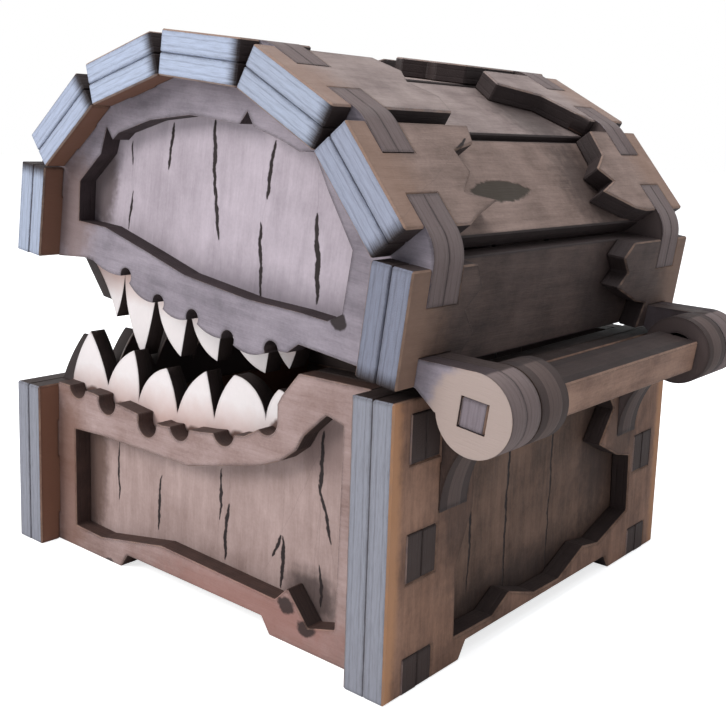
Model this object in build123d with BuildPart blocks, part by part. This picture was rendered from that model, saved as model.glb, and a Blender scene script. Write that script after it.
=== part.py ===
"""A small toothed treasure chest of laser-cut plywood with a barrel lid.

X runs along the barrel, Y from front to back, Z up from the table. The origin is at the
middle of the footprint of the whole chest, hinge included. All sizes are millimetres.
The lid stands ajar by rest_opening. Its outlines are drawn as if it were closed and are
laid on planes that are turned about the hinge axis, with lid_point and lid_dir.
"""

import os
from math import cos, radians, sin, sqrt

from build123d import *

os.makedirs("parts", exist_ok=True)

# Sheet and overall sizes
ply = 3.0  # one layer; every wall is two layers
length = 73.5  # front, back and lid boards, end to end
depth = 75.0  # outer faces, front to back
overhang = 3.6  # boards past the outer face of the end walls
base_back_height = 36.3
base_front_height = 26.0
floor_height = 3.0  # underside of the floor board

# Lid
lid_gap = 0.3  # lid rim above the back wall, when closed
lid_side_height = 13.8  # upright boards at front and back
arch_turn = 22.5  # degrees between the three upper boards
seam_gap = 0.1  # between neighbouring lid boards
finger_length = 4.5  # end wall fingers, along the board from a corner
rest_opening = 7.5  # degrees

# Feet, tenons
foot_length = 15.8
foot_rise = 2.2  # cut-out between the feet
foot_slant = 1.5
rail_width = 4.0  # frames round their windows; the ragged edges are drawn in it
tenon_height = 6.0
foot_tenon_height = 4.5
tenon_margin = 1.6  # middle tenon below the tooth strip at the front
top_tenon_drop = 1.8  # below the top of the back wall

# Teeth and gums
tooth_clearance = 1.8  # tallest lower tooth to the closed lid
upper_tooth_height = 13.0
slide_gap = 0.2  # lower strips to the upper strips that pass behind them
front_tooth_count = 7
front_tooth_clearance = 3.6  # front teeth to the closed lid
front_tooth_gap = 2.0  # upper front teeth above the lower ones, when closed
tooth_bulge_depth = 0.4  # rounding of a front tooth's sides
strip_depth = 4.4  # painted strips behind the frames, at the front
upper_strip_depth = 5.4  # same, at the ends
gum_notch_width = 4.0
small_notch_width = 2.4

# Hinge
hinge_setback = 7.9  # axis behind the back wall
hinge_drop = 0.4  # axis below the top of the back wall
lug_radius = 4.9
lug_arm_height = 3.4  # height of the arm where it leaves the lid
ear_gap = 0.3  # ear to lug
bar_gap = 0.25  # bar to ear
ear_tenon_drop = 8.8  # below the top of the back wall
ear_shoulder = 0.5  # ear below its tenon
tenon_width = 3.5  # square ends of the bar
tenon_fit = 0.05  # each side, in the lug's square hole
running_clearance = 0.075  # tenon corners to the ear's round hole
bar_depth = 6.0
bar_height = 4.4

# Derived sizes
wall = 2 * ply  # two layers
half_length = length / 2
end_outer = half_length - overhang
end_middle = end_outer - ply
end_inner = end_outer - wall
half_in = depth / 2 - wall
mid_y = -(hinge_setback + lug_radius) / 2
front_in = mid_y - half_in
back_in = mid_y + half_in
front_out = front_in - wall
back_out = back_in + wall
lid_bottom = base_back_height + lid_gap
spring_height = lid_bottom + lid_side_height  # height where the barrel starts
board_width = 2 * half_in / (1 + 2 * cos(radians(arch_turn)) + 2 * cos(radians(2 * arch_turn)))
barrel_rise = board_width * (sin(radians(arch_turn)) + sin(radians(2 * arch_turn)))
hinge_y = back_out + hinge_setback
hinge_z = base_back_height - hinge_drop
tooth_height = lid_bottom - base_front_height - tooth_clearance
lower_strip_low = base_front_height - strip_depth
middle_tenon_low = lower_strip_low - tenon_margin - tenon_height
top_tenon_low = base_back_height - top_tenon_drop - tenon_height
ear_tenon_low = base_back_height - ear_tenon_drop - tenon_height
ear_root_low = ear_tenon_low - ear_shoulder
front_tooth_height = lid_bottom - base_front_height - front_tooth_clearance
front_pitch = 2 * end_middle / front_tooth_count
ear_outer = end_inner - ear_gap
ear_inner = ear_outer - wall
bar_half_length = ear_inner - bar_gap
ear_hole = tenon_width / sqrt(2) + running_clearance
closed_cos = cos(radians(rest_opening))
closed_sin = sin(radians(rest_opening))


def lid_dir(y, z):
    """A direction of the closed lid, turned to the rest pose."""
    return (0, y * closed_cos + z * closed_sin, -y * closed_sin + z * closed_cos)


def lid_point(x, y, z):
    """A point of the closed lid, turned about the hinge axis to the rest pose."""
    turned = lid_dir(y - hinge_y, z - hinge_z)
    return (x, hinge_y + turned[1], hinge_z + turned[2])


def gum(share, rise, more=0):
    """A point of an end wall: share of the half depth, rise over the front in rails."""
    return (mid_y + share * half_in, base_front_height + rise * rail_width + more)


def high(share, rise):
    """A point of an end wall: share of the half depth, rise over the back in rails."""
    return (mid_y + share * half_in, base_back_height + rise * rail_width)


def low(share, rise):
    """A point of an end wall: share of the half depth, rise over the table in rails."""
    return (mid_y + share * half_in, rise * rail_width)


def brim(share, rise, more=0):
    """A point of a closed lid end: share of the half depth, rise over its rim in rails."""
    return (mid_y + share * half_in, lid_bottom + rise * rail_width + more)


def arch(share, rise_share):
    """A point of a closed lid end: shares of the half depth and of the barrel's rise."""
    return (mid_y + share * half_in, spring_height + rise_share * barrel_rise)


def block(x0, z0, x1, z1, mode=Mode.ADD):
    """A rectangle between two corners."""
    with Locations(((x0 + x1) / 2, (z0 + z1) / 2)):
        Rectangle(abs(x1 - x0), abs(z1 - z0), mode=mode)


def save(piece, name):
    """Label one finished piece and write its file."""
    piece.part.label = name
    export_step(piece.part, f"parts/{name}.step")


# The lid boards: corners on their inner faces, front to back, and the slope of each
slopes = (90, 2 * arch_turn, arch_turn, 0, -arch_turn, -2 * arch_turn, -90)
widths = (lid_side_height,) + (board_width,) * 5 + (lid_side_height,)
along = [(cos(radians(slope)), sin(radians(slope))) for slope in slopes]
outward = [(-rise, run) for run, rise in along]
corners = [(front_in, lid_bottom)]
for (run, rise), width in zip(along, widths):
    corners.append((corners[-1][0] + run * width, corners[-1][1] + rise * width))


def board_plane(number, height):
    """Sketch plane of lid board 1 to 7: X along the chest, Y over the barrel."""
    out_y, out_z = outward[number - 1]
    corner_y, corner_z = corners[number - 1]
    origin = lid_point(0, corner_y + out_y * height, corner_z + out_z * height)
    return Plane(origin=origin, x_dir=(1, 0, 0), z_dir=lid_dir(out_y, out_z))


def cut_finger_slots(width, number):
    """Open slots for the end walls' fingers, at both edges of a lid board."""
    for hand in (1, -1):
        if number > 1:
            block(hand * end_inner, 0, hand * end_outer, finger_length, Mode.SUBTRACT)
        if number < 7:
            block(hand * end_inner, width - finger_length, hand * end_outer, width, Mode.SUBTRACT)
        else:
            block(hand * end_inner, width - lug_arm_height, hand * end_outer, width, Mode.SUBTRACT)


def cut_wall_slots(top_low):
    """Slots of a base wall for the end walls' tenons; top_low is None at the front."""
    for hand in (1, -1):
        inner = hand * end_inner
        outer = hand * end_outer
        block(inner, 0, outer, foot_tenon_height, Mode.SUBTRACT)
        block(inner, middle_tenon_low, outer, middle_tenon_low + tenon_height, Mode.SUBTRACT)
        if top_low is not None:
            block(inner, top_low, outer, top_low + tenon_height, Mode.SUBTRACT)


def cut_feet(half_width, centre=0):
    """The cut-out between two feet."""
    foot = half_width - foot_length
    top = foot - foot_slant
    Polygon(
        (centre - foot, 0),
        (centre - top, foot_rise),
        (centre + top, foot_rise),
        (centre + foot, 0),
        align=None,
        mode=Mode.SUBTRACT,
    )


def add_end_tenons():
    """Tenons of a base end wall, flush with the faces of the front and back walls."""
    for inner, outer in ((front_in, front_out), (back_in, back_out)):
        block(inner, 0, outer, foot_tenon_height)
        block(inner, middle_tenon_low, outer, middle_tenon_low + tenon_height)
    block(back_in, top_tenon_low, back_out, top_tenon_low + tenon_height)


def add_fingers():
    """Fingers of a lid end wall, with a round ridge at every corner of the barrel."""
    for number in range(1, 7):
        corner = Vector(*corners[number])
        back = Vector(*along[number - 1]) * -finger_length
        ahead = Vector(*along[number]) * finger_length
        out_back = Vector(*outward[number - 1]) * wall
        out_ahead = Vector(*outward[number]) * wall
        ridge = (out_back + out_ahead).normalized() * wall
        with BuildLine() as edge:
            Polyline(corner + out_ahead, corner + out_ahead + ahead, corner + ahead,
                     corner, corner + back, corner + back + out_back, corner + out_back)
            ThreePointArc(corner + out_back, corner + ridge, corner + out_ahead)
        make_face(edge.edges())


def add_lug():
    """Arm and disc at the back of a lid end wall, with the bar's square hole."""
    Polygon(
        (back_in, lid_bottom),
        (back_in, lid_bottom + lug_arm_height),
        (back_out, lid_bottom + lug_arm_height),
        (hinge_y, hinge_z + lug_radius),
        (hinge_y, hinge_z),
        (hinge_y - lug_radius, hinge_z - lug_radius / 4),
        (back_out, lid_bottom),
        align=None,
    )
    with Locations((hinge_y, hinge_z)):
        Circle(lug_radius)
        Rectangle(tenon_width + 2 * tenon_fit, tenon_width + 2 * tenon_fit, mode=Mode.SUBTRACT)


# Floor board, between the four walls
with BuildPart() as base_floor:
    with BuildSketch(Plane.XY.offset(floor_height)):
        block(-end_inner, front_in, end_inner, back_in)
    extrude(amount=ply)
save(base_floor, "base_floor")

# Front wall, inner board: its top is recessed for the painted tooth strip
front_plane = Plane(origin=(0, front_out, 0), x_dir=(1, 0, 0), z_dir=(0, -1, 0))
with BuildPart() as base_front_board:
    with BuildSketch(front_plane.offset(-ply)):
        block(-half_length, 0, half_length, base_front_height)
        block(-end_middle, lower_strip_low, end_middle, base_front_height, Mode.SUBTRACT)
        cut_wall_slots(None)
        cut_feet(half_length)
    extrude(amount=-ply)
save(base_front_board, "base_front_board")

# Front wall, outer frame: scalloped top, ragged window
with BuildPart() as base_front_frame:
    with BuildSketch(front_plane):
        block(-half_length, 0, half_length, base_front_height)
        cut_wall_slots(None)
        cut_feet(half_length)
        for k in range(front_tooth_count - 1):
            valley = (k + 1) * front_pitch - end_middle
            with Locations((valley, base_front_height)):
                SlotOverall(gum_notch_width * 1.6, gum_notch_width, rotation=90, mode=Mode.SUBTRACT)
        Polygon(
            (-0.88 * end_inner, 1.05 * rail_width),
            (-0.86 * end_inner, 0.5 * lower_strip_low),
            (-0.90 * end_inner, 0.80 * lower_strip_low),
            (-0.25 * end_inner, 0.78 * lower_strip_low),
            (0.30 * end_inner, 0.82 * lower_strip_low),
            (0.87 * end_inner, 0.79 * lower_strip_low),
            (0.84 * end_inner, 0.45 * lower_strip_low),
            (0.89 * end_inner, 0.975 * rail_width),
            (0.40 * end_inner, 1.15 * rail_width),
            (0.10 * end_inner, 0.95 * rail_width),
            (-0.35 * end_inner, 1.35 * rail_width),
            (-0.60 * end_inner, 0.975 * rail_width),
            align=None,
            mode=Mode.SUBTRACT,
        )
    extrude(amount=-ply)
save(base_front_frame, "base_front_frame")

# Painted teeth of the front wall, behind the frame's scallops
with BuildPart() as lower_teeth_front:
    with BuildSketch(front_plane.offset(-ply)):
        block(-end_middle, lower_strip_low, end_middle, base_front_height)
        for k in range(front_tooth_count):
            left = (k * front_pitch - end_middle, base_front_height)
            tip = (left[0] + front_pitch / 2, base_front_height + front_tooth_height)
            right = (left[0] + front_pitch, base_front_height)
            with BuildLine():
                SagittaArc(left, tip, tooth_bulge_depth)
                SagittaArc(tip, right, tooth_bulge_depth)
                Line(right, left)
            make_face()
    extrude(amount=-ply)
save(lower_teeth_front, "lower_teeth_front")

# Back wall, inner board, with slots for the tenons of the hinge ears
back_plane = Plane(origin=(0, back_out, 0), x_dir=(-1, 0, 0), z_dir=(0, 1, 0))
ear_slots = [(hand * ear_inner, hand * ear_outer) for hand in (1, -1)]
with BuildPart() as base_back_board:
    with BuildSketch(back_plane.offset(-ply)):
        block(-half_length, 0, half_length, base_back_height)
        cut_wall_slots(top_tenon_low)
        cut_feet(half_length)
        for x0, x1 in ear_slots:
            block(x0, ear_tenon_low, x1, ear_tenon_low + tenon_height, Mode.SUBTRACT)
    extrude(amount=-ply)
save(base_back_board, "base_back_board")

# Back wall, outer frame. This plane's X runs from the right end to the left one.
with BuildPart() as base_back_frame:
    with BuildSketch(back_plane):
        block(-half_length, 0, half_length, base_back_height)
        cut_wall_slots(top_tenon_low)
        cut_feet(half_length)
        Polygon(
            (-0.82 * end_inner, 0.9 * rail_width),
            (-0.83 * end_inner, 3.25 * rail_width),
            (-0.71 * end_inner, base_back_height - 4.075 * rail_width),
            (-0.715 * end_inner, base_back_height - 1.675 * rail_width),
            (-0.18 * end_inner, base_back_height - 1.525 * rail_width),
            (0.59 * end_inner, base_back_height - 1.625 * rail_width),
            (0.707 * end_inner, base_back_height - 2.575 * rail_width),
            (0.56 * end_inner, base_back_height - 3.825 * rail_width),
            (0.796 * end_inner, base_back_height - 4.55 * rail_width),
            (0.954 * end_inner, base_back_height - 4.8 * rail_width),
            (0.972 * end_inner, 2 * rail_width),
            (0.626 * end_inner, 1.3 * rail_width),
            (0.442 * end_inner, 1.5 * rail_width),
            (0.184 * end_inner, 0.775 * rail_width),
            (-0.074 * end_inner, 0.8 * rail_width),
            (-0.331 * end_inner, 1.375 * rail_width),
            (-0.479 * end_inner, 0.85 * rail_width),
            align=None,
            mode=Mode.SUBTRACT,
        )
        for x0, x1 in ear_slots:
            block(x0, ear_tenon_low, x1, ear_tenon_low + tenon_height, Mode.SUBTRACT)
    extrude(amount=-ply)
save(base_back_frame, "base_back_frame")

# End walls of the base and their teeth. Each is drawn on a plane square to X.
for side, hand in ((1, "right"), (-1, "left")):
    inner_plane = Plane(origin=(side * end_inner, 0, 0), x_dir=(0, 1, 0), z_dir=(1, 0, 0))
    strip_plane = inner_plane.offset(side * slide_gap)
    outer_plane = inner_plane.offset(side * ply)

    # Inner panel: the tooth strip sits on its sloping top edge
    with BuildPart() as base_end_panel:
        with BuildSketch(inner_plane):
            Polygon(
                low(-1, 0),
                low(1, 0),
                high(1, 0),
                high(0.635, 0),
                high(0.524, -1.2),
                gum(0.524, 0.125),
                gum(0.127, 0.075, -upper_strip_depth),
                gum(-1, 0.05, -upper_strip_depth),
                align=None,
            )
            cut_feet(half_in, mid_y)
            add_end_tenons()
        extrude(amount=side * ply)
    save(base_end_panel, f"base_end_panel_{hand}")

    # Outer frame: gum line above, ragged window below it
    with BuildPart() as base_end_frame:
        with BuildSketch(outer_plane):
            Polygon(
                low(-1, 0),
                low(1, 0),
                high(1, 0),
                high(0.635, 0),
                high(0.543, -0.85),
                gum(0.46, 0.625),
                gum(0.333, 0.05),
                gum(0.07, -0.25),
                gum(-0.197, -0.45),
                gum(-0.486, -0.175),
                gum(-0.714, 0),
                gum(-1, 0.075),
                align=None,
            )
            cut_feet(half_in, mid_y)
            notches = (
                gum(-0.838, -0.375),
                gum(-0.603, -0.675),
                gum(-0.302, -1.05),
                gum(-0.079, -0.8),
                gum(0.206, -0.5),
                gum(0.457, 0.3),
            )
            for notch_y, notch_z in notches:
                with Locations((notch_y, notch_z + gum_notch_width)):
                    SlotOverall(2 * gum_notch_width, gum_notch_width, rotation=90, mode=Mode.SUBTRACT)
            Polygon(
                gum(-0.86, -1.65),
                low(-0.857, 0.875),
                low(-0.651, 0.825),
                low(-0.20, 1.5),
                low(0.527, 1.325),
                low(0.597, 1.875),
                low(0.714, 0.825),
                low(0.854, 1.15),
                high(0.87, -1.3),
                high(0.784, -1.125),
                high(0.67, -1.95),
                high(0.629, -2.5),
                high(0.549, -2.975),
                gum(0.435, -0.775),
                gum(-0.016, -1.625),
                gum(-0.641, -1.575),
                align=None,
                mode=Mode.SUBTRACT,
            )
            add_end_tenons()
        extrude(amount=side * ply)
    save(base_end_frame, f"base_end_frame_{hand}")

    # Lower teeth, leaning back: the round front, the tip, the steep back and the valley
    # of each, in shares of the half depth and of tooth_height
    teeth = (
        (-0.940, 0.602, -0.854, 1.000, -0.800, 0.739, -0.714, 0.091),
        (-0.629, 0.557, -0.511, 0.830, -0.483, 0.500, -0.476, -0.023),
        (-0.387, 0.455, -0.273, 0.659, -0.225, 0.330, -0.197, -0.057),
        (-0.108, 0.489, -0.003, 0.773, 0.022, 0.455, 0.051, 0.034),
        (0.102, 0.500, 0.175, 0.818, 0.305, 0.648, 0.368, 0.261),
        (0.400, 0.591, 0.441, 0.761, 0.486, 0.705, 0.524, 0.568),
    )
    with BuildPart() as lower_teeth_end:
        with BuildSketch(strip_plane):
            with BuildLine():
                root = gum(-1, 0, 0.1 * tooth_height)
                start = root
                for front_u, front_v, tip_u, tip_v, back_u, back_v, end_u, end_v in teeth:
                    tip = gum(tip_u, 0, tip_v * tooth_height)
                    valley = gum(end_u, 0, end_v * tooth_height)
                    ThreePointArc(root, gum(front_u, 0, front_v * tooth_height), tip)
                    ThreePointArc(tip, gum(back_u, 0, back_v * tooth_height), valley)
                    root = valley
                Polyline(
                    root,
                    gum(0.524, 0.125),
                    gum(0.127, 0.075, -upper_strip_depth),
                    gum(-1, 0.05, -upper_strip_depth),
                    start,
                )
            make_face()
        extrude(amount=side * (ply - slide_gap))
    save(lower_teeth_end, f"lower_teeth_{hand}")

    # Hinge ear: a tenon through the back wall, a round hole for the turning bar
    with BuildPart() as hinge_ear:
        ear_plane = Plane(origin=(side * ear_inner, 0, 0), x_dir=(0, 1, 0), z_dir=(1, 0, 0))
        with BuildSketch(ear_plane):
            with BuildLine():
                disc_low = (hinge_y - 0.6 * lug_radius, hinge_z - 0.8 * lug_radius)
                Polyline(disc_low, (hinge_y, hinge_z), (back_out, hinge_z),
                         (back_out, ear_root_low))
                SagittaArc((back_out, ear_root_low), disc_low, hinge_setback / 6)
            make_face()
            with Locations((hinge_y, hinge_z)):
                Circle(lug_radius)
                Circle(ear_hole, mode=Mode.SUBTRACT)
            block(back_in, ear_tenon_low, back_out, ear_tenon_low + tenon_height)
        extrude(amount=side * wall)
    save(hinge_ear, f"hinge_ear_{hand}")

# Lid boards, inner layer. Board 1 is the upright one at the front.
for number in range(1, 8):
    width = widths[number - 1]
    with BuildPart() as lid_board:
        with BuildSketch(board_plane(number, 0)):
            block(-half_length, seam_gap / 2, half_length, width - seam_gap / 2)
            cut_finger_slots(width, number)
            if number == 1:
                block(-end_inner, 0, end_inner, strip_depth, Mode.SUBTRACT)
        extrude(amount=ply)
    save(lid_board, f"lid_board_{number}")

# Outer layer of boards 2 to 7: a band at each end, with a ragged inner edge. Each edge
# is given in shares of the half length and of the board's width, front to back.
upper_right = ((0.38, 0.00), (0.30, 0.24), (0.37, 0.47), (0.29, 0.71), (0.35, 1.00))
middle_right = ((0.33, 0.00), (0.36, 0.20), (0.50, 0.28), (0.48, 0.50), (0.58, 0.69),
                (0.41, 0.78), (0.59, 0.93), (0.65, 1.00))
back_right = ((0.65, 0.00), (0.60, 0.22), (0.68, 0.40), (0.61, 0.62), (0.67, 0.80), (0.60, 1.00))
upper_left = ((0.38, 0.00), (0.33, 0.30), (0.58, 0.49), (0.66, 0.85), (0.70, 1.00))
middle_left = ((0.59, 0.00), (0.57, 0.30), (0.45, 0.47), (0.52, 0.63), (0.38, 0.74),
               (0.57, 0.96), (0.65, 1.00))
back_left = ((0.49, 0.00), (0.42, 0.16), (0.48, 0.33), (0.41, 0.48), (0.61, 0.68),
             (0.70, 0.72), (0.66, 1.00))
edges = {
    "right": (middle_right[::-1], upper_right[::-1], upper_left, upper_right, middle_right,
              back_right),
    "left": (middle_left[::-1], upper_left[::-1], upper_right, upper_left, middle_left,
             back_left),
}
for side, hand in ((1, "right"), (-1, "left")):
    for number in range(2, 8):
        width = widths[number - 1]
        edge = edges[hand][number - 2]
        if edge[0][1] > edge[-1][1]:
            edge = [(share, 1 - rise) for share, rise in edge[::-1]][::-1]
        with BuildPart() as lid_band:
            with BuildSketch(board_plane(number, ply)):
                points = [
                    (side * share * half_length, seam_gap / 2 + rise * (width - seam_gap))
                    for share, rise in edge
                ]
                points.append((side * half_length, points[-1][1]))
                points.append((side * half_length, points[0][1]))
                Polygon(*points, align=None)
                cut_finger_slots(width, number)
            extrude(amount=ply)
        save(lid_band, f"lid_band_{number}_{hand}")

# Outer frame of board 1: scalloped rim, ragged window
with BuildPart() as lid_front_frame:
    with BuildSketch(board_plane(1, ply)):
        block(-half_length, 0, half_length, lid_side_height - seam_gap / 2)
        cut_finger_slots(lid_side_height, 1)
        for k in range(front_tooth_count):
            with Locations((k * front_pitch - end_middle + front_pitch / 2, 0)):
                Circle(small_notch_width / 2, mode=Mode.SUBTRACT)
        Polygon(
            (-0.85 * end_inner, 0.33 * lid_side_height),
            (-0.83 * end_inner, 0.76 * lid_side_height),
            (-0.30 * end_inner, 0.72 * lid_side_height),
            (-0.26 * end_inner, 0.80 * lid_side_height),
            (-0.20 * end_inner, 0.73 * lid_side_height),
            (0.55 * end_inner, 0.77 * lid_side_height),
            (0.86 * end_inner, 0.74 * lid_side_height),
            (0.82 * end_inner, 0.34 * lid_side_height),
            (0.35 * end_inner, 0.30 * lid_side_height),
            (-0.15 * end_inner, 0.36 * lid_side_height),
            (-0.50 * end_inner, 0.31 * lid_side_height),
            align=None,
            mode=Mode.SUBTRACT,
        )
    extrude(amount=ply)
save(lid_front_frame, "lid_front_frame")

# Upper teeth at the front, in the plane of board 1: they close between the lower teeth
upper_tip = front_tooth_gap + base_front_height - lid_bottom
with BuildPart() as upper_teeth_front:
    with BuildSketch(board_plane(1, 0)):
        block(-end_inner, 0, end_inner, strip_depth)
        for k in range(front_tooth_count - 1):
            left = (k * front_pitch - end_middle + front_pitch / 2, upper_tip + front_tooth_height)
            right = (left[0] + front_pitch, left[1])
            tip = ((left[0] + right[0]) / 2, upper_tip)
            Polygon((left[0], 0), left, tip, right, (right[0], 0), align=None)
    extrude(amount=ply)
save(upper_teeth_front, "upper_teeth_front")

# End walls of the lid and their teeth
for side, hand in ((1, "right"), (-1, "left")):
    inner_plane = Plane(
        origin=lid_point(side * end_inner, 0, 0), x_dir=lid_dir(1, 0), z_dir=(1, 0, 0)
    )
    outer_plane = inner_plane.offset(side * ply)

    # Inner panel with fingers through the boards and the hinge lug
    with BuildPart() as lid_end_panel:
        with BuildSketch(inner_plane):
            Polygon(*corners, align=None)
            add_fingers()
            add_lug()
        extrude(amount=side * ply)
    save(lid_end_panel, f"lid_end_panel_{hand}")

    # Outer frame: scalloped gum line at the rim, ragged window
    with BuildPart() as lid_end_frame:
        with BuildSketch(outer_plane):
            with BuildLine():
                Polyline(brim(0.62, 0), *corners[::-1], brim(-0.746, 0.35))
                scallops = (
                    (-0.590, 0.05, -0.473, 0.15),
                    (-0.340, -0.45, -0.232, -0.375),
                    (-0.105, -0.70, -0.003, -0.45),
                    (0.130, -0.80, 0.226, -0.70),
                    (0.375, -0.90, 0.478, -0.50),
                )
                root = brim(-0.746, 0.35)
                for dip_u, dip, end_u, end in scallops:
                    ThreePointArc(root, brim(dip_u, dip), brim(end_u, end))
                    root = brim(end_u, end)
                Polyline(root, brim(0.565, -0.4), brim(0.62, 0))
            make_face()
            for dip_u, dip, end_u, end in scallops:
                with Locations(brim(end_u, end)):
                    Circle(small_notch_width / 2, mode=Mode.SUBTRACT)
            Polygon(
                brim(-0.857, 1.6),
                arch(-0.87, -0.087),
                arch(-0.724, 0.211),
                arch(-0.695, 0.46),
                arch(-0.644, 0.36),
                arch(-0.603, 0.435),
                arch(-0.39, 0.602),
                arch(-0.137, 0.708),
                arch(0.165, 0.714),
                arch(0.203, 0.82),
                arch(0.244, 0.714),
                arch(0.416, 0.646),
                arch(0.502, 0.596),
                arch(0.578, 0.621),
                arch(0.673, 0.354),
                arch(0.825, -0.025),
                brim(0.816, 1.375),
                brim(0.749, 1.025),
                brim(0.594, 1),
                brim(0.321, 0.85),
                brim(-0.079, 0.925),
                brim(-0.333, 1.275),
                brim(-0.648, 1.675),
                align=None,
                mode=Mode.SUBTRACT,
            )
            add_fingers()
            add_lug()
        extrude(amount=side * ply)
    save(lid_end_frame, f"lid_end_frame_{hand}")

    # Upper teeth, glued behind the panel: they pass inside the lower teeth. Front, tip,
    # back and valley of each, in shares of the half depth and of upper_tooth_height.
    teeth = (
        (-0.832, 0.369, -0.752, 0.662, -0.721, 0.392, -0.711, 0.085),
        (-0.663, 0.538, -0.527, 1.000, -0.489, 0.585, -0.463, 0.085),
        (-0.400, 0.546, -0.254, 0.815, -0.241, 0.469, -0.222, 0.085),
        (-0.165, 0.492, -0.010, 0.692, -0.006, 0.392, 0.010, 0.100),
        (0.105, 0.440, 0.290, 0.608, 0.296, 0.354, 0.300, 0.123),
        (0.352, 0.330, 0.425, 0.462, 0.448, 0.277, 0.463, 0.046),
    )
    with BuildPart() as upper_teeth_end:
        with BuildSketch(inner_plane):
            with BuildLine():
                start = brim(-0.978, 0, -0.046 * upper_tooth_height)
                root = start
                for front_u, front_v, tip_u, tip_v, back_u, back_v, end_u, end_v in teeth:
                    tip = brim(tip_u, 0, -tip_v * upper_tooth_height)
                    valley = brim(end_u, 0, -end_v * upper_tooth_height)
                    ThreePointArc(root, brim(front_u, 0, -front_v * upper_tooth_height), tip)
                    ThreePointArc(tip, brim(back_u, 0, -back_v * upper_tooth_height), valley)
                    root = valley
                Polyline(
                    root,
                    brim(0.484, 0, upper_strip_depth),
                    brim(-0.978, 0, upper_strip_depth),
                    start,
                )
            make_face()
        extrude(amount=-side * ply)
    save(upper_teeth_end, f"upper_teeth_{hand}")

# Hinge bar: a rectangular middle between the ears, square tenons out to the lug faces
with BuildPart() as hinge_bar:
    bar_plane = Plane(
        origin=(0, hinge_y, hinge_z), x_dir=lid_dir(1, 0), z_dir=(1, 0, 0)
    )
    with BuildSketch(bar_plane):
        Rectangle(bar_depth, bar_height)
    extrude(amount=bar_half_length, both=True)
    with BuildSketch(bar_plane):
        Rectangle(tenon_width, tenon_width)
    extrude(amount=end_outer, both=True)
save(hinge_bar, "hinge_bar")
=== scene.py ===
import math

import bpy
from mathutils import Matrix, Vector

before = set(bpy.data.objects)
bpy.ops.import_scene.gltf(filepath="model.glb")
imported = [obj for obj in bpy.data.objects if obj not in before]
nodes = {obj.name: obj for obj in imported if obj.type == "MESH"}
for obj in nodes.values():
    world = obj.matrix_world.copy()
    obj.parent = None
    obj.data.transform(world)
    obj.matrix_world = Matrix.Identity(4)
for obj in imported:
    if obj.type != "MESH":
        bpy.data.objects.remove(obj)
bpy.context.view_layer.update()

# Studio: a pale floor under the chest, a white surround that only the camera, glossy and
# transmission rays see, a large soft lamp at the toothed end and a weak one above.
scene = bpy.context.scene
scene.view_settings.view_transform = "Standard"


def add(tree, kind, inputs=None, **settings):
    """One shader node, with its settings and its inputs (values or sockets)."""
    node = tree.nodes.new(kind)
    for name, value in settings.items():
        setattr(node, name, value)
    for name, value in (inputs or {}).items():
        if isinstance(value, bpy.types.NodeSocket):
            tree.links.new(value, node.inputs[name])
        else:
            node.inputs[name].default_value = value
    return node


def calc(tree, operation, a, b=0.0, c=0.0, clamp=False):
    """A math node's output."""
    return add(tree, "ShaderNodeMath", {0: a, 1: b, 2: c}, operation=operation,
               use_clamp=clamp).outputs[0]


world = bpy.data.worlds.new("surround")
scene.world = world
world.use_nodes = True
tree = world.node_tree
path = add(tree, "ShaderNodeLightPath")
seen = calc(tree, "MAXIMUM", path.outputs["Is Camera Ray"], path.outputs["Is Glossy Ray"])
seen = calc(tree, "MAXIMUM", seen, path.outputs["Is Transmission Ray"])
FILL_LIGHT = (0.36, 0.375, 0.41, 1)  # a little blue, from all sides
WHITE = (1, 1, 1, 1)
sky = add(tree, "ShaderNodeMix", {"Factor": seen, "A": FILL_LIGHT, "B": WHITE},
          data_type="RGBA")
tree.links.new(sky.outputs["Result"], tree.nodes["Background"].inputs["Color"])
tree.nodes["Background"].inputs["Strength"].default_value = 1.0

floor_material = bpy.data.materials.new("studio_floor")
floor_material.use_nodes = True
tree = floor_material.node_tree
floor_shader = tree.nodes["Principled BSDF"]
floor_shader.inputs["Base Color"].default_value = (0.86, 0.86, 0.85, 1)
floor_shader.inputs["Roughness"].default_value = 0.9
path = add(tree, "ShaderNodeLightPath")
floor_shader.inputs["Emission Color"].default_value = WHITE
FLOOR_GLOW = 0.72  # seen by the camera alone, it lifts the floor to the white surround
tree.links.new(calc(tree, "MULTIPLY", path.outputs["Is Camera Ray"], FLOOR_GLOW),
               floor_shader.inputs["Emission Strength"])
mesh = bpy.data.meshes.new("studio_floor")
FAR = 3  # half the floor's side, metres
mesh.from_pydata([(-FAR, -FAR, 0), (FAR, -FAR, 0), (FAR, FAR, 0), (-FAR, FAR, 0)], [],
                 [(0, 1, 2, 3)])
studio_floor = bpy.data.objects.new("studio_floor", mesh)
scene.collection.objects.link(studio_floor)
mesh.materials.append(floor_material)


def lamp(name, place, target, size, watts, color):
    """A square soft lamp that faces its target."""
    data = bpy.data.lights.new(name, "AREA")
    data.size = size
    data.energy = watts
    data.color = color
    thing = bpy.data.objects.new(name, data)
    scene.collection.objects.link(thing)
    thing.matrix_world = Matrix.Translation(place) @ (
        (Vector(target) - Vector(place)).to_track_quat("-Z", "Y").to_matrix().to_4x4())


lamp("lamp_left", (0.55, -0.32, 0.42), (0, -0.01, 0.04), 0.35, 3.6, (1.0, 0.985, 0.975))
lamp("lamp_top", (0.05, 0.12, 0.75), (0, 0, 0.04), 0.5, 3.0, (0.97, 0.98, 1.0))

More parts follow.
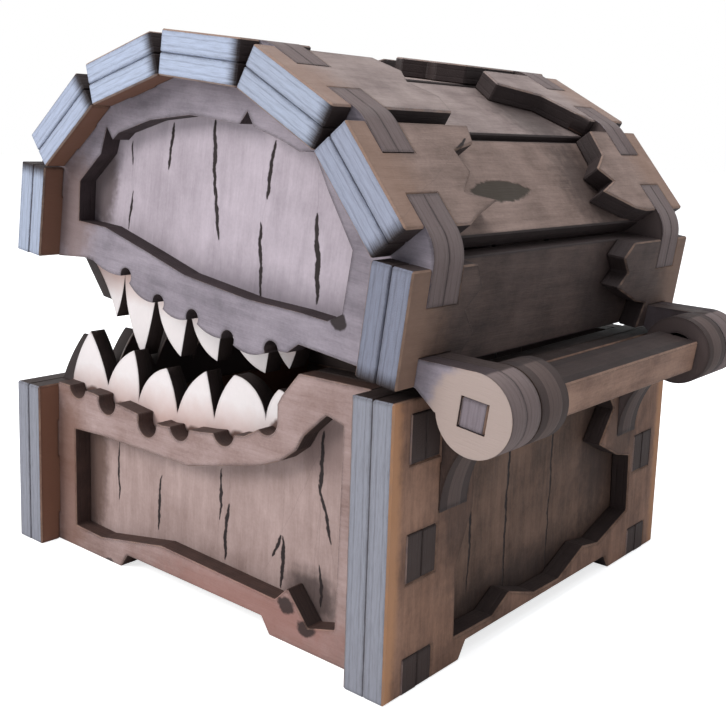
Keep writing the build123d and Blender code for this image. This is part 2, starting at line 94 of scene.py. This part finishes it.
# Camera: fitted to the corners of the boards in the photograph. The focal length and the
# point where its axis meets the picture are in pixels of that picture.
PICTURE_WIDTH, PICTURE_HEIGHT = 726, 720
FOCAL = 1032.7
AXIS_X, AXIS_Y = 280.1, 307.34
SENSOR = 36.0
CAMERA_PLACE = (0.1269, 0.09753, 0.06473)
yaw, pitch, roll = math.radians(132.961), math.radians(9.083), math.radians(1.144)
back = Vector((math.sin(yaw) * math.cos(pitch), -math.cos(yaw) * math.cos(pitch),
               math.sin(pitch)))
right = (-back).cross(Vector((0, 0, 1))).normalized()
up = right.cross(-back)
right, up = (math.cos(roll) * right + math.sin(roll) * up,
             -math.sin(roll) * right + math.cos(roll) * up)
camera_data = bpy.data.cameras.new("photo_camera")
camera_data.sensor_width = SENSOR
camera_data.lens = SENSOR * FOCAL / PICTURE_WIDTH
camera_data.shift_x = (PICTURE_WIDTH / 2 - AXIS_X) / PICTURE_WIDTH
camera_data.shift_y = (AXIS_Y - PICTURE_HEIGHT / 2) / PICTURE_WIDTH
camera_data.clip_start = 0.01
camera = bpy.data.objects.new("photo_camera", camera_data)
scene.collection.objects.link(camera)
camera.matrix_world = Matrix.Translation(CAMERA_PLACE) @ Matrix(
    (right, up, back)).transposed().to_4x4()
scene.camera = camera

# Laser-cut plywood. Every piece of the chest is cut from flat 3 mm sheet, stained on its
# faces and scorched along the cuts. These groups give the stained grain, the scorched edge
# with its plies, the soot beside it, engraved cracks between planks, and smudges.
MM = 1000.0  # the frame is in metres, the patterns are in millimetres
HEART = (0, -6.4, 38)  # the middle of the chest, millimetres
GLUE_AT = 0.6  # millimetres from a board's middle to the glue lines of its three plies
RUB_WIDTH = 0.00022  # metres, across the worn corner between a face and a cut
SOCKETS = {"v": "NodeSocketVector", "c": "NodeSocketColor", "f": "NodeSocketFloat"}


def open_group(name, ins, outs):
    """An empty shader group; ins are (name, kind[, default]), outs are (name, kind)."""
    group = bpy.data.node_groups.new(name, "ShaderNodeTree")
    for entry in ins:
        socket = group.interface.new_socket(entry[0], in_out="INPUT",
                                            socket_type=SOCKETS[entry[1]])
        if len(entry) > 2:
            socket.default_value = entry[2]
    for entry in outs:
        group.interface.new_socket(entry[0], in_out="OUTPUT", socket_type=SOCKETS[entry[1]])
    return group, group.nodes.new("NodeGroupInput").outputs, group.nodes.new(
        "NodeGroupOutput").inputs


def vec(tree, operation, a, b=(0, 0, 0)):
    """A vector math node's output."""
    node = add(tree, "ShaderNodeVectorMath", {0: a, 1: b}, operation=operation)
    return node.outputs["Value" if operation == "DOT_PRODUCT" else "Vector"]


def step(tree, value, low, high):
    """0 below low, 1 above high, smooth between."""
    return add(tree, "ShaderNodeMapRange",
               {"Value": value, "From Min": low, "From Max": high},
               interpolation_type="SMOOTHSTEP").outputs["Result"]


def blend(tree, factor, a, b):
    """Two colours mixed."""
    return add(tree, "ShaderNodeMix", {"Factor": factor, "A": a, "B": b},
               data_type="RGBA").outputs["Result"]


def noise(tree, vector, scale, detail=3.0, roughness=0.55):
    """Plain noise, 0 to 1."""
    return add(tree, "ShaderNodeTexNoise", {"Vector": vector, "Scale": scale,
                                            "Detail": detail, "Roughness": roughness}
               ).outputs["Fac"]


def millimetres(tree, coordinates):
    """Object coordinates in millimetres."""
    return vec(tree, "MULTIPLY", coordinates.outputs["Object"], (MM, MM, MM))


# Place on a board: millimetres along the grain, across it, and from its middle layer
axes_group, into, out = open_group(
    "place_on_board", [("Along", "v"), ("Across", "v"), ("Through", "v"), ("Origin", "v")],
    [("Board", "v")])
t = axes_group
place = vec(t, "SUBTRACT", millimetres(t, add(t, "ShaderNodeTexCoord")), into["Origin"])
t.links.new(add(t, "ShaderNodeCombineXYZ", {
    "X": vec(t, "DOT_PRODUCT", place, into["Along"]),
    "Y": vec(t, "DOT_PRODUCT", place, into["Across"]),
    "Z": vec(t, "DOT_PRODUCT", place, into["Through"])}).outputs[0], out["Board"])

# Stain and grain on a face: soft streaks, fine fibres, wide blotches and dark specks
grain_group, into, out = open_group(
    "stained_grain", [("Board", "v"), ("Pale", "c"), ("Dark", "c"), ("Seed", "f", 0.0),
                      ("Contrast", "f", 1.0)], [("Color", "c"), ("Height", "f")])
t = grain_group
seed = add(t, "ShaderNodeCombineXYZ", {"X": into["Seed"], "Y": into["Seed"],
                                       "Z": into["Seed"]}).outputs[0]
shifted = vec(t, "ADD", into["Board"], seed)
streak = noise(t, vec(t, "MULTIPLY", shifted, (0.06, 0.55, 0.55)), 1.0, 6.0, 0.65)
fibre = noise(t, vec(t, "MULTIPLY", shifted, (0.45, 5.0, 5.0)), 1.0, 3.0, 0.6)
blotch = noise(t, shifted, 0.11, 5.0, 0.62)
speck = noise(t, shifted, 2.4, 3.0, 0.7)
tone = calc(t, "MULTIPLY_ADD", streak, 0.42, -0.68)
tone = calc(t, "MULTIPLY_ADD", fibre, 0.16, tone)
tone = calc(t, "MULTIPLY_ADD", blotch, 0.62, tone)
tone = calc(t, "MULTIPLY_ADD", speck, 0.16, tone)
tone = calc(t, "MULTIPLY", tone, into["Contrast"])
tone = calc(t, "MULTIPLY_ADD", tone, 3.2, 0.5, clamp=True)
t.links.new(blend(t, tone, into["Dark"], into["Pale"]), out["Color"])
t.links.new(calc(t, "MULTIPLY_ADD", fibre, 0.6, calc(t, "MULTIPLY", streak, 0.6)),
            out["Height"])

# Masks of a cut board. Cut: the sawn sides, with their corner beside a glued face (Glued 1:
# the outward face, -1: the inward face). Rub: the other corners of face and cut, worn pale.
# Tip: looks outwards along Outer, as the sawn ends do. Inside: a face that looks into the
# chest. Plies: thin lines of the layers. Soot: beside the edges.
edge_group, into, out = open_group(
    "cut_board", [("Board", "v"), ("Through", "v"), ("Outer", "v"), ("Glued", "f", 0.0)],
    [("Cut", "f"), ("Rub", "f"), ("Tip", "f"), ("Inside", "f"), ("Plies", "f"),
     ("Soot", "f")])
t = edge_group
coords = add(t, "ShaderNodeTexCoord")
normal = coords.outputs["Normal"]
flat = calc(t, "ABSOLUTE", vec(t, "DOT_PRODUCT", normal, into["Through"]))
tilt = calc(t, "ABSOLUTE", calc(t, "SUBTRACT", flat, 0.68))
square = calc(t, "SUBTRACT", 1.0, step(t, tilt, 0.18, 0.28))
worn = noise(t, into["Board"], 0.45, 4.0, 0.6)
from_heart = vec(t, "SUBTRACT", millimetres(t, coords), HEART)
split = add(t, "ShaderNodeSeparateXYZ", {0: into["Board"]})
outward = calc(t, "SIGN", vec(t, "DOT_PRODUCT", into["Through"], from_heart))
glued_side = calc(t, "MULTIPLY", calc(t, "MULTIPLY", outward, split.outputs["Z"]),
                  into["Glued"])
glued_corner = calc(t, "MULTIPLY", square, step(t, glued_side, 0.9, 1.2))
sawn = calc(t, "SUBTRACT", 1.0, step(t, flat, 0.35, 0.6))
t.links.new(calc(t, "MAXIMUM", sawn, glued_corner), out["Cut"])
t.links.new(calc(t, "MULTIPLY", calc(t, "SUBTRACT", square, glued_corner),
                 step(t, worn, 0.38, 0.62)), out["Rub"])
t.links.new(step(t, vec(t, "DOT_PRODUCT", vec(t, "MULTIPLY", normal, into["Outer"]),
                        from_heart), 12.0, 16.0), out["Tip"])
t.links.new(step(t, calc(t, "MULTIPLY", vec(t, "DOT_PRODUCT", normal, from_heart), -1.0),
                 4.0, 8.0), out["Inside"])
wander = calc(t, "MULTIPLY_ADD", noise(t, into["Board"], 0.5, 3.0), 0.3, -0.15)
layer = calc(t, "ABSOLUTE", calc(t, "ADD", split.outputs["Z"], wander))
from_glue = calc(t, "ABSOLUTE", calc(t, "SUBTRACT", layer, GLUE_AT))
glue = calc(t, "SUBTRACT", 1.0, step(t, from_glue, 0.03, 0.16))
seam = calc(t, "MULTIPLY", step(t, layer, 1.36, 1.5), 0.8)
glue = calc(t, "MULTIPLY", glue, calc(t, "MULTIPLY", worn, 0.45))
t.links.new(calc(t, "MAXIMUM", glue, seam), out["Plies"])
rounded = add(t, "ShaderNodeBevel", {"Radius": 0.0010}, samples=4)
bend = calc(t, "SUBTRACT", 1.0, vec(t, "DOT_PRODUCT", rounded.outputs["Normal"],
                                    add(t, "ShaderNodeNewGeometry").outputs["Normal"]))
smoke = noise(t, into["Board"], 0.8, 4.0, 0.65)
t.links.new(calc(t, "MULTIPLY", step(t, bend, 0.0, 0.28),
                 calc(t, "MULTIPLY_ADD", smoke, 1.9, 0.0), clamp=True), out["Soot"])

# One engraved crack: a wavering spindle along the grain
crack_group, into, out = open_group(
    "plank_crack", [("Board", "v"), ("Place", "f"), ("Low", "f"), ("High", "f"),
                    ("Lean", "f", 0.0), ("Width", "f", 1.0), ("Waver", "f", 1.6)],
    [("Mask", "f")])
t = crack_group
split = add(t, "ShaderNodeSeparateXYZ", {0: into["Board"]})
line = add(t, "ShaderNodeCombineXYZ", {"X": split.outputs["X"], "Y": into["Place"],
                                       "Z": 0.0}).outputs[0]
sway = calc(t, "MULTIPLY", calc(t, "SUBTRACT", noise(t, line, 0.20, 4.0, 0.6), 0.5),
            into["Waver"])
centre = calc(t, "MULTIPLY", calc(t, "ADD", into["Low"], into["High"]), 0.5)
sway = calc(t, "MULTIPLY_ADD", calc(t, "SUBTRACT", split.outputs["X"], centre),
            into["Lean"], sway)
off = calc(t, "SUBTRACT", calc(t, "SUBTRACT", split.outputs["Y"], into["Place"]), sway)
share = calc(t, "DIVIDE", calc(t, "SUBTRACT", split.outputs["X"], into["Low"]),
             calc(t, "SUBTRACT", into["High"], into["Low"]))
swell = calc(t, "MULTIPLY", share, calc(t, "SUBTRACT", 1.0, share))
swell = calc(t, "POWER", calc(t, "MULTIPLY", calc(t, "MAXIMUM", swell, 0.0), 4.0), 0.4)
ragged = calc(t, "MULTIPLY_ADD", noise(t, line, 0.7, 2.0), 1.3, 0.15)
half = calc(t, "MULTIPLY", calc(t, "MULTIPLY", into["Width"], 0.5),
            calc(t, "MULTIPLY", swell, ragged))
t.links.new(step(t, calc(t, "SUBTRACT", half, calc(t, "ABSOLUTE", off)), -0.05, 0.12),
            out["Mask"])

# A smudge: a ragged round patch
smudge_group, into, out = open_group(
    "smudge", [("Board", "v"), ("X", "f"), ("Y", "f"), ("Half X", "f", 1.0),
               ("Half Y", "f", 1.0), ("Ragged", "f", 0.8), ("Soft", "f", 0.15)],
    [("Mask", "f")])
t = smudge_group
split = add(t, "ShaderNodeSeparateXYZ", {0: into["Board"]})
reach_x = calc(t, "DIVIDE", calc(t, "SUBTRACT", split.outputs["X"], into["X"]),
               into["Half X"])
reach_y = calc(t, "DIVIDE", calc(t, "SUBTRACT", split.outputs["Y"], into["Y"]),
               into["Half Y"])
reach = calc(t, "SQRT", calc(t, "ADD", calc(t, "MULTIPLY", reach_x, reach_x),
                             calc(t, "MULTIPLY", reach_y, reach_y)))
reach = calc(t, "MULTIPLY_ADD", calc(t, "SUBTRACT", noise(t, into["Board"], 0.7, 4.0), 0.5),
             into["Ragged"], reach)
t.links.new(calc(t, "SUBTRACT", 1.0, step(t, reach, calc(t, "SUBTRACT", 1.0, into["Soft"]),
                                          calc(t, "ADD", 1.0, into["Soft"]))), out["Mask"])


def shade(red, green, blue):
    """A display colour (0 to 255) as the linear colour that a shader takes."""
    values = []
    for value in (red, green, blue):
        value /= 255.0
        if value <= 0.04045:
            values.append(value / 12.92)
        else:
            values.append(((value + 0.055) / 1.055) ** 2.4)
    return (*values, 1.0)


# Near-black of scorched cuts and soot, also laid on as painted shade and painted shadow.
SCORCH_AND_SHADE = shade(38, 30, 30)
CHARRED = shade(64, 52, 49)
INSIDE_STAIN_AND_SHADE = shade(86, 74, 72)  # faces inside the chest: a dark stain with painted shade
RUBBED = shade(150, 122, 104)


class Board:
    """One stained board material; marks are painted over its colour one by one. Along and
    across are the board's axes, origin is a point of its middle layer in millimetres from
    the frame's origin, and charred_from is the place across the board where its sawn ends
    turn black."""

    def __init__(self, name, along, across, origin, pale, dark, tip=CHARRED,
                 outer=(0, 0, 0), soot=0.85, seed=0.0, contrast=1.0, rub=0.4,
                 burnt=CHARRED, inside=INSIDE_STAIN_AND_SHADE, charred_from=None, glued=0.0):
        self.material = bpy.data.materials.new(name)
        self.material.use_nodes = True
        t = self.tree = self.material.node_tree
        through = tuple(Vector(along).cross(Vector(across)))
        self.place = self.group(axes_group, Along=along, Across=across, Through=through,
                                Origin=origin).outputs["Board"]
        grain = self.group(grain_group, Board=self.place, Pale=pale, Dark=dark, Seed=seed,
                           Contrast=contrast)
        self.masks = self.group(edge_group, Board=self.place, Through=through, Outer=outer,
                                Glued=glued).outputs
        self.color = grain.outputs["Color"]
        self.height = grain.outputs["Height"]
        self.paint(self.masks["Inside"], inside)
        self.paint(calc(t, "MULTIPLY", self.masks["Soot"], soot), SCORCH_AND_SHADE)
        char = blend(t, noise(t, self.place, 0.35, 4.0, 0.6), SCORCH_AND_SHADE, burnt)
        streaks = noise(t, vec(t, "MULTIPLY", self.place, (0.3, 0.3, 4.0)), 1.0, 5.0, 0.75)
        ends = blend(t, calc(t, "MULTIPLY", step(t, streaks, 0.35, 0.95), 0.55), tip,
                     CHARRED)
        if charred_from is not None:
            back_edge = add(t, "ShaderNodeSeparateXYZ", {0: self.place}).outputs["Y"]
            back_edge = calc(t, "MULTIPLY_ADD", streaks, 1.2, back_edge)
            ends = blend(t, step(t, back_edge, charred_from, charred_from + 2.2), ends,
                         SCORCH_AND_SHADE)
        ends = blend(t, calc(t, "MULTIPLY", self.masks["Soot"], 0.75), ends, SCORCH_AND_SHADE)
        cut = blend(t, self.masks["Tip"], char, ends)
        cut = blend(t, calc(t, "MULTIPLY", self.masks["Plies"], 0.7), cut, SCORCH_AND_SHADE)
        self.cut = cut
        self.rub = rub

    def group(self, group, **inputs):
        """A group node in this material; an underscore in a name stands for a space."""
        node = add(self.tree, "ShaderNodeGroup", node_tree=group)
        for name, value in inputs.items():
            socket = node.inputs[name.replace("_", " ")]
            if isinstance(value, bpy.types.NodeSocket):
                self.tree.links.new(value, socket)
            else:
                socket.default_value = value
        return node

    def paint(self, mask, color, depth=0.0):
        """Lay a colour over the faces, and sink it by depth."""
        self.color = blend(self.tree, mask, self.color, color)
        if depth:
            self.height = calc(self.tree, "SUBTRACT", self.height,
                               calc(self.tree, "MULTIPLY", mask, depth))

    def crack(self, place, low, high, lean=0.0, width=1.0):
        """Engrave one crack."""
        mask = self.group(crack_group, Board=self.place, Place=place, Low=low, High=high,
                          Lean=lean, Width=width).outputs["Mask"]
        self.paint(mask, SCORCH_AND_SHADE, 3.0)

    def smudge(self, x, y, half_x, half_y, color=SCORCH_AND_SHADE, strength=1.0, ragged=0.8,
               soft=0.15, depth=0.0):
        """Paint one ragged patch."""
        mask = self.group(smudge_group, Board=self.place, X=x, Y=y, Half_X=half_x,
                          Half_Y=half_y, Ragged=ragged, Soft=soft).outputs["Mask"]
        self.paint(calc(self.tree, "MULTIPLY", mask, strength), color, depth)

    def finish(self, *names):
        """Join colour and relief to the shader and give the material to CAD pieces. Their
        sharp corners are rubbed down by a small bevel."""
        t = self.tree
        shader = t.nodes["Principled BSDF"]
        color = blend(t, self.masks["Cut"], self.color, self.cut)
        color = blend(t, calc(t, "MULTIPLY", self.masks["Rub"], self.rub), color, RUBBED)
        t.links.new(color, shader.inputs["Base Color"])
        sheen = calc(t, "MULTIPLY_ADD", noise(t, self.place, 0.3, 3.0), -0.25, 0.78)
        t.links.new(sheen, shader.inputs["Roughness"])
        shader.inputs["Specular IOR Level"].default_value = 0.22
        height = calc(t, "SUBTRACT", self.height,
                      calc(t, "MULTIPLY", self.masks["Plies"],
                           calc(t, "MULTIPLY", self.masks["Cut"], 1.2)))
        relief = add(t, "ShaderNodeBump", {"Height": height, "Strength": 0.4,
                                           "Distance": 0.00022})
        t.links.new(relief.outputs["Normal"], shader.inputs["Normal"])
        for name in names:
            piece = nodes[name]
            piece.data.materials.clear()
            piece.data.materials.append(self.material)
            joined = piece.modifiers.new("joined", "WELD")
            joined.merge_threshold = 0.000002
            plain = piece.modifiers.new("plain_faces", "DECIMATE")
            plain.decimate_type = "DISSOLVE"
            plain.angle_limit = math.radians(0.5)
            rubbed = piece.modifiers.new("rubbed_corners", "BEVEL")
            rubbed.width = RUB_WIDTH
            rubbed.segments = 1
            rubbed.limit_method = "ANGLE"
            rubbed.angle_limit = math.radians(40)


# Floor board of the chest: plywood stained dark, partly as painted shade inside the chest,
# held between the four walls. The places below are those of the layers' middles and of the
# hinge axis, in millimetres.
END_INNER, END_OUTER = 28.65, 31.65  # sideways, from the middle
LOWER_STRIP, UPPER_STRIP = 28.75, 25.65  # the same, of the painted teeth
FRONT_INNER, FRONT_OUTER = -39.4, -42.4
BACK_INNER, BACK_OUTER = 26.6, 29.6
HINGE_Y, HINGE_Z = 39.0, 35.9
HINGE = (0, HINGE_Y, HINGE_Z)
X, Y, Z = (1, 0, 0), (0, 1, 0), (0, 0, 1)
floor_wood = Board("floor_wood", X, Y, (0, 0, 4.5), shade(96, 80, 72), shade(66, 54, 50),
                   seed=3.0)
floor_wood.finish("base_floor")

# Front wall: an inner board and an outer frame with a ragged window, both scorched at the
# cuts, their sawn ends washed grey-blue.
END_GREY = shade(140, 142, 152)
for name, heart, glued in (("base_front_board", FRONT_INNER, 1.0),
                           ("base_front_frame", FRONT_OUTER, -1.0)):
    wood = Board(name, X, Z, (0, heart, 0), shade(150, 116, 100), shade(98, 70, 60),
                 tip=END_GREY, outer=X, seed=heart, inside=shade(118, 82, 66),
                 glued=glued)
    wood.finish(name)

# Back wall: the same two layers in a dark brown stain. The outer one is sanded to bare
# tan wood at the corners of the chest, and darkened below each hinge ear by a painted
# shadow.
back_board = Board("base_back_board", Z, X, (0, BACK_INNER, 0), shade(128, 101, 86),
                   shade(72, 56, 48), tip=END_GREY, outer=X, seed=21.0, glued=1.0)
back_board.smudge(2.0, 0.0, 6.0, 26.0, strength=0.75, soft=0.6)
back_board.smudge(22.0, -22.0, 14.0, 8.0, strength=0.7, soft=0.6)
back_board.crack(6.0, 4.0, 30.0, width=0.7)
back_board.crack(-6.0, 2.0, 34.0, width=0.6)
back_board.crack(15.0, 6.0, 28.0, width=0.7)
back_board.finish("base_back_board")
back_frame = Board("base_back_frame", Z, X, (0, BACK_OUTER, 0), shade(156, 120, 100),
                   shade(96, 72, 61), tip=END_GREY, outer=X, seed=22.0, glued=-1.0)
for side in (1, -1):
    back_frame.smudge(18.0, side * 37.2, 30.0, 2.4, shade(184, 136, 100), 0.8, 0.5, 0.35)
    # Painted shadow below each hinge ear.
    back_frame.smudge(24.0, side * 22.0, 13.0, 4.5, SCORCH_AND_SHADE, 0.6, 0.8, 0.5)
back_frame.finish("base_back_frame")

# End walls of the base: a panel engraved as cracked planks, and a frame over it with a gum
# line and a window. Their tenons come through the front and back walls.
base_cracks = (  # back along the wall, low and high, lean, width
    (-26.2, 8.8, 18.5, 0.01, 0.6), (-16.4, 6.5, 15.4, 0.08, 0.8),
    (-3.3, 11.7, 19.5, 0.06, 0.7), (-2.1, 6.1, 14.7, 0.08, 0.9),
    (15.3, 20.0, 28.8, 0.05, 0.9), (16.0, 14.0, 21.6, -0.31, 0.8),
    (8.8, 5.4, 12.9, 0.0, 0.9), (7.6, 9.4, 12.9, 0.5, 0.8), (15.5, 5.0, 10.8, -0.04, 0.7),
)
for side, hand in ((1, "right"), (-1, "left")):
    panel = Board("base_end_panel_" + hand, Z, Y, (side * END_INNER, 0, 0),
                  shade(186, 163, 158), shade(142, 120, 114), outer=Y, seed=31.0,
                  contrast=0.8, glued=1.0)
    panel.smudge(14.0, -32.5, 13.0, 3.4, shade(84, 62, 52), 0.8, 0.7, 0.4)
    panel.smudge(6.0, 14.0, 3.4, 4.5, SCORCH_AND_SHADE, 0.75, 0.8, 0.5)
    panel.smudge(27.0, 15.5, 4.0, 5.0, shade(120, 100, 96), 0.7, 0.6, 0.5)
    for place, low, high, lean, width in base_cracks:
        panel.crack(place, low, high, lean, width)
    panel.finish("base_end_panel_" + hand)
    rim = Board("base_end_frame_" + hand, Y, Z, (side * END_OUTER, 0, 0),
                shade(174, 152, 148), shade(124, 99, 92), outer=Y, seed=36.0,
                contrast=0.9, burnt=shade(84, 62, 55), glued=-1.0)
    rim.smudge(-35.0, 12.0, 4.5, 15.0, shade(112, 80, 66), 0.7, 0.8, 0.5)
    rim.smudge(6.0, 3.0, 17.0, 3.6, shade(146, 100, 90), 0.65, 0.9, 0.7)
    for back_y, height in ((-25.1, -0.6), (12.3, 5.2), (15.8, 3.1), (-25.2, 18.0)):
        rim.smudge(back_y, height, 1.5, 1.1, SCORCH_AND_SHADE, 0.9, 1.1, 0.2)
    rim.finish("base_end_frame_" + hand)

# Lid boards: seven inner boards over the barrel, each with an outer layer at both ends (the
# bands) or over its whole length (the front frame). Brown stain, darker on the upright
# boards partly as painted shade; sawn ends grey-blue. A place on a board is measured from
# its middle along the chest and from its front edge.
TURN = math.radians(7.5)  # the lid stands ajar
TAN = shade(160, 128, 108)
LID_BACK = (0, math.cos(TURN), -math.sin(TURN))
LID_UP = (0, math.sin(TURN), math.cos(TURN))
SIDE, ARCH = 13.8, 14.784  # widths of the upright and of the sloping boards
boards = (  # slope and width; pale and dark stain, partly painted shade; the wash of the sawn ends
    (90, SIDE, shade(112, 92, 84), shade(66, 54, 51), shade(166, 176, 196)),
    (45, ARCH, shade(152, 132, 122), shade(104, 86, 80), shade(172, 182, 204)),
    (22.5, ARCH, shade(150, 134, 128), shade(104, 90, 87), shade(176, 187, 209)),
    (0, ARCH, shade(166, 150, 144), shade(118, 103, 99), shade(176, 187, 209)),
    (-22.5, ARCH, shade(164, 148, 142), shade(114, 99, 96), shade(166, 175, 194)),
    (-45, ARCH, shade(156, 134, 124), shade(106, 88, 80), shade(152, 158, 176)),
    (-90, SIDE, shade(98, 82, 76), shade(58, 47, 45), shade(124, 128, 144)),
)
corner_y, corner_z = -37.9, 36.6  # lower front corner of the barrel, lid closed
for number, (slope, width, pale, dark, wash) in enumerate(boards, 1):
    run, rise = math.cos(math.radians(slope)), math.sin(math.radians(slope))
    over = tuple(run * b + rise * u for b, u in zip(LID_BACK, LID_UP))
    for layer, depth, glued in (("board", 1.5, 1.0), ("layer", 4.5, -1.0)):
        heart_y = corner_y - rise * depth - HINGE_Y
        heart_z = corner_z + run * depth - HINGE_Z
        origin = tuple(place + heart_y * b + heart_z * u for place, b, u in
                       zip(HINGE, LID_BACK, LID_UP))
        wood = Board("lid_%s_%d" % (layer, number), X, over, origin, pale, dark, tip=wash,
                     outer=X, seed=40.0 + number + 10 * depth, burnt=shade(56, 46, 45),
                     inside=shade(112, 80, 66), charred_from=width - 1.6, glued=glued)
        if layer == "board":
            # Board 6: painted shade in a leaf-shaped hollow, sunk a little by bump.
            if number == 6:
                leaf = [wood.group(smudge_group, Board=wood.place, X=7.6, Y=8.4 + shift,
                                   Half_X=8.8, Half_Y=3.7, Ragged=0.3, Soft=0.06
                                   ).outputs["Mask"] for shift in (-2.0, 2.0)]
                wood.paint(calc(wood.tree, "MINIMUM", *leaf), shade(60, 52, 44), 2.0)
            # Boards 5 to 7: painted shade, with some soot, beside the far bands' ragged
            # edges.
            if number in (5, 6, 7):
                wood.smudge(-17.0, width * 0.6, 7.0, 9.0, SCORCH_AND_SHADE, 0.7, 1.0, 0.6)
            if number in (2, 3, 4):
                wood.smudge(15.0, width * 0.5, 6.0, 8.0, SCORCH_AND_SHADE, 0.5, 1.0, 0.6)
            wood.finish("lid_board_%d" % number)
        else:
            for side in (1, -1):
                wood.smudge(side * 35.0, width * 0.5, 5.0, width, TAN, 0.45, 0.9, 0.9)
            if number == 6:
                wood.crack(3.3, 14.5, 18.5, 0.5, 1.0)
                wood.crack(6.4, 15.0, 17.5, -0.5, 0.9)
            wood.finish(*(["lid_front_frame"] if number == 1 else
                          ["lid_band_%d_right" % number, "lid_band_%d_left" % number]))
    corner_y, corner_z = corner_y + run * width, corner_z + rise * width

# End walls of the lid: panel and frame as on the base, with fingers through the lid boards
# and a hinge lug behind. Places are measured from the hinge axis. The lug's face is sanded.
lid_cracks = (
    (-64.6, 16.8, 20.4, -0.1, 0.5), (-64.0, 7.2, 13.2, 0.03, 0.6),
    (-56.2, 17.4, 24.2, 0.02, 0.8), (-47.1, 15.5, 25.8, -0.11, 1.0),
    (-45.7, 9.7, 16.8, -0.24, 0.9), (-36.6, 16.8, 24.6, 0.05, 0.9),
    (-36.7, 3.6, 13.8, -0.11, 0.9), (-27.1, 5.4, 16.8, -0.15, 1.1),
)
for side, hand in ((1, "right"), (-1, "left")):
    panel = Board("lid_end_panel_" + hand, LID_UP, LID_BACK,
                  (side * END_INNER, HINGE_Y, HINGE_Z), shade(196, 184, 193),
                  shade(154, 143, 151), tip=shade(116, 102, 100),
                  outer=(0, 1, 1), seed=61.0, contrast=0.8, glued=1.0)
    panel.smudge(14.0, -71.0, 9.0, 3.4, shade(72, 58, 54), 0.8, 0.7, 0.4)
    panel.smudge(2.0, -30.0, 5.0, 24.0, shade(124, 116, 124), 0.6, 0.7, 0.6)
    for place, low, high, lean, width in lid_cracks:
        panel.crack(place, low, high, lean, width)
    panel.finish("lid_end_panel_" + hand)
    rim = Board("lid_end_frame_" + hand, LID_BACK, LID_UP,
                (side * END_OUTER, HINGE_Y, HINGE_Z), shade(160, 151, 160),
                shade(110, 103, 111), tip=shade(116, 102, 100), outer=(0, 1, 1),
                seed=66.0, contrast=0.9, burnt=shade(66, 55, 58), glued=-1.0)
    rim.smudge(-74.0, 8.0, 5.0, 9.0, shade(112, 90, 82), 0.7, 0.8, 0.5)
    for back_y, height, half in ((-27.8, 23.4, 1.0), (-25.2, 20.2, 0.8), (-20.1, 5.2, 1.3)):
        rim.smudge(back_y, height, half, half * 0.8, SCORCH_AND_SHADE, 0.95, 0.8, 0.15)
    rim.smudge(0.0, 0.0, 5.6, 5.2, shade(170, 152, 143), 0.9, 0.35, 0.12)
    rim.finish("lid_end_frame_" + hand)

# Teeth: strips of the same plywood behind the gum lines. Their outer faces are brushed
# with white paint that goes pinkish at the roots and bare brown in the gum notches.
gum_brown = shade(96, 70, 62)
lower_notches = ((-32.8, 24.5), (-25.4, 23.3), (-15.9, 21.8), (-8.9, 22.8), (0.1, 24.0),
                 (8.0, 27.2))
upper_notches = ((-60.3, 1.3), (-52.7, -0.8), (-45.5, -1.1), (-38.3, -2.1), (-30.3, -1.3),
                 (-67.8, 2.0))
for name, along, across, origin in (
        ("lower_teeth_right", Z, Y, (LOWER_STRIP, 0, 0)),
        ("lower_teeth_left", Z, Y, (-LOWER_STRIP, 0, 0)),
        ("lower_teeth_front", Z, X, (0, FRONT_OUTER, 0)),
        ("upper_teeth_right", LID_UP, LID_BACK, (UPPER_STRIP, HINGE_Y, HINGE_Z)),
        ("upper_teeth_left", LID_UP, LID_BACK, (-UPPER_STRIP, HINGE_Y, HINGE_Z)),
        ("upper_teeth_front", LID_UP, X, (0, FRONT_INNER, HINGE_Z))):
    tooth = Board(name, along, across, origin, shade(120, 100, 92), shade(84, 68, 62),
                  soot=0.5, seed=71.0, rub=0.25)
    t = tooth.tree
    height = add(t, "ShaderNodeSeparateXYZ", {0: tooth.place}).outputs["X"]
    ragged = calc(t, "MULTIPLY_ADD", noise(t, tooth.place, 0.5, 4.0), 2.4, -1.2)
    height = calc(t, "ADD", height, ragged)
    outside = calc(t, "SUBTRACT", 1.0, tooth.masks["Inside"])
    if "lower" in name:
        tip, root = 29.5, 24.0
    else:
        tip, root = -5.0, -0.6
    towards_tip = add(t, "ShaderNodeMapRange", {
        "Value": height, "From Min": root, "From Max": tip}).outputs["Result"]
    painted = blend(t, towards_tip, shade(208, 174, 164), shade(236, 229, 228))
    brushed = calc(t, "MULTIPLY", noise(t, tooth.place, 1.2, 4.0, 0.7), 0.3)
    painted = blend(t, brushed, painted, shade(206, 196, 196))
    painted = blend(t, calc(t, "MULTIPLY", tooth.masks["Soot"], 0.22), painted, CHARRED)
    tooth.paint(outside, painted)
    if "front" not in name:
        for across_y, up_z in (lower_notches if "lower" in name else upper_notches):
            tooth.smudge(up_z, across_y, 1.5, 1.9, gum_brown, 0.95, 0.5, 0.2)
    tooth.finish(name)

# Hinge: ears on the back wall with tenons through it, and a rectangular bar whose square
# tenons turn in them. The bar's broad back face is bare tan wood.
EAR_PLACE = 23.85  # sideways, the middle of an ear
for side, hand in ((1, "right"), (-1, "left")):
    # The ears' dark stain is partly painted shade.
    ear = Board("hinge_ear_" + hand, Z, Y, (side * EAR_PLACE, 0, 0), shade(110, 90, 82),
                shade(70, 57, 53), tip=shade(92, 78, 74), outer=(0, 1, 1), seed=81.0)
    ear.finish("hinge_ear_" + hand)
bar = Board("hinge_bar", X, LID_UP, HINGE, shade(160, 128, 110), shade(112, 86, 74),
            tip=shade(126, 116, 122), outer=X, seed=86.0, contrast=1.2)
bar.finish("hinge_bar")
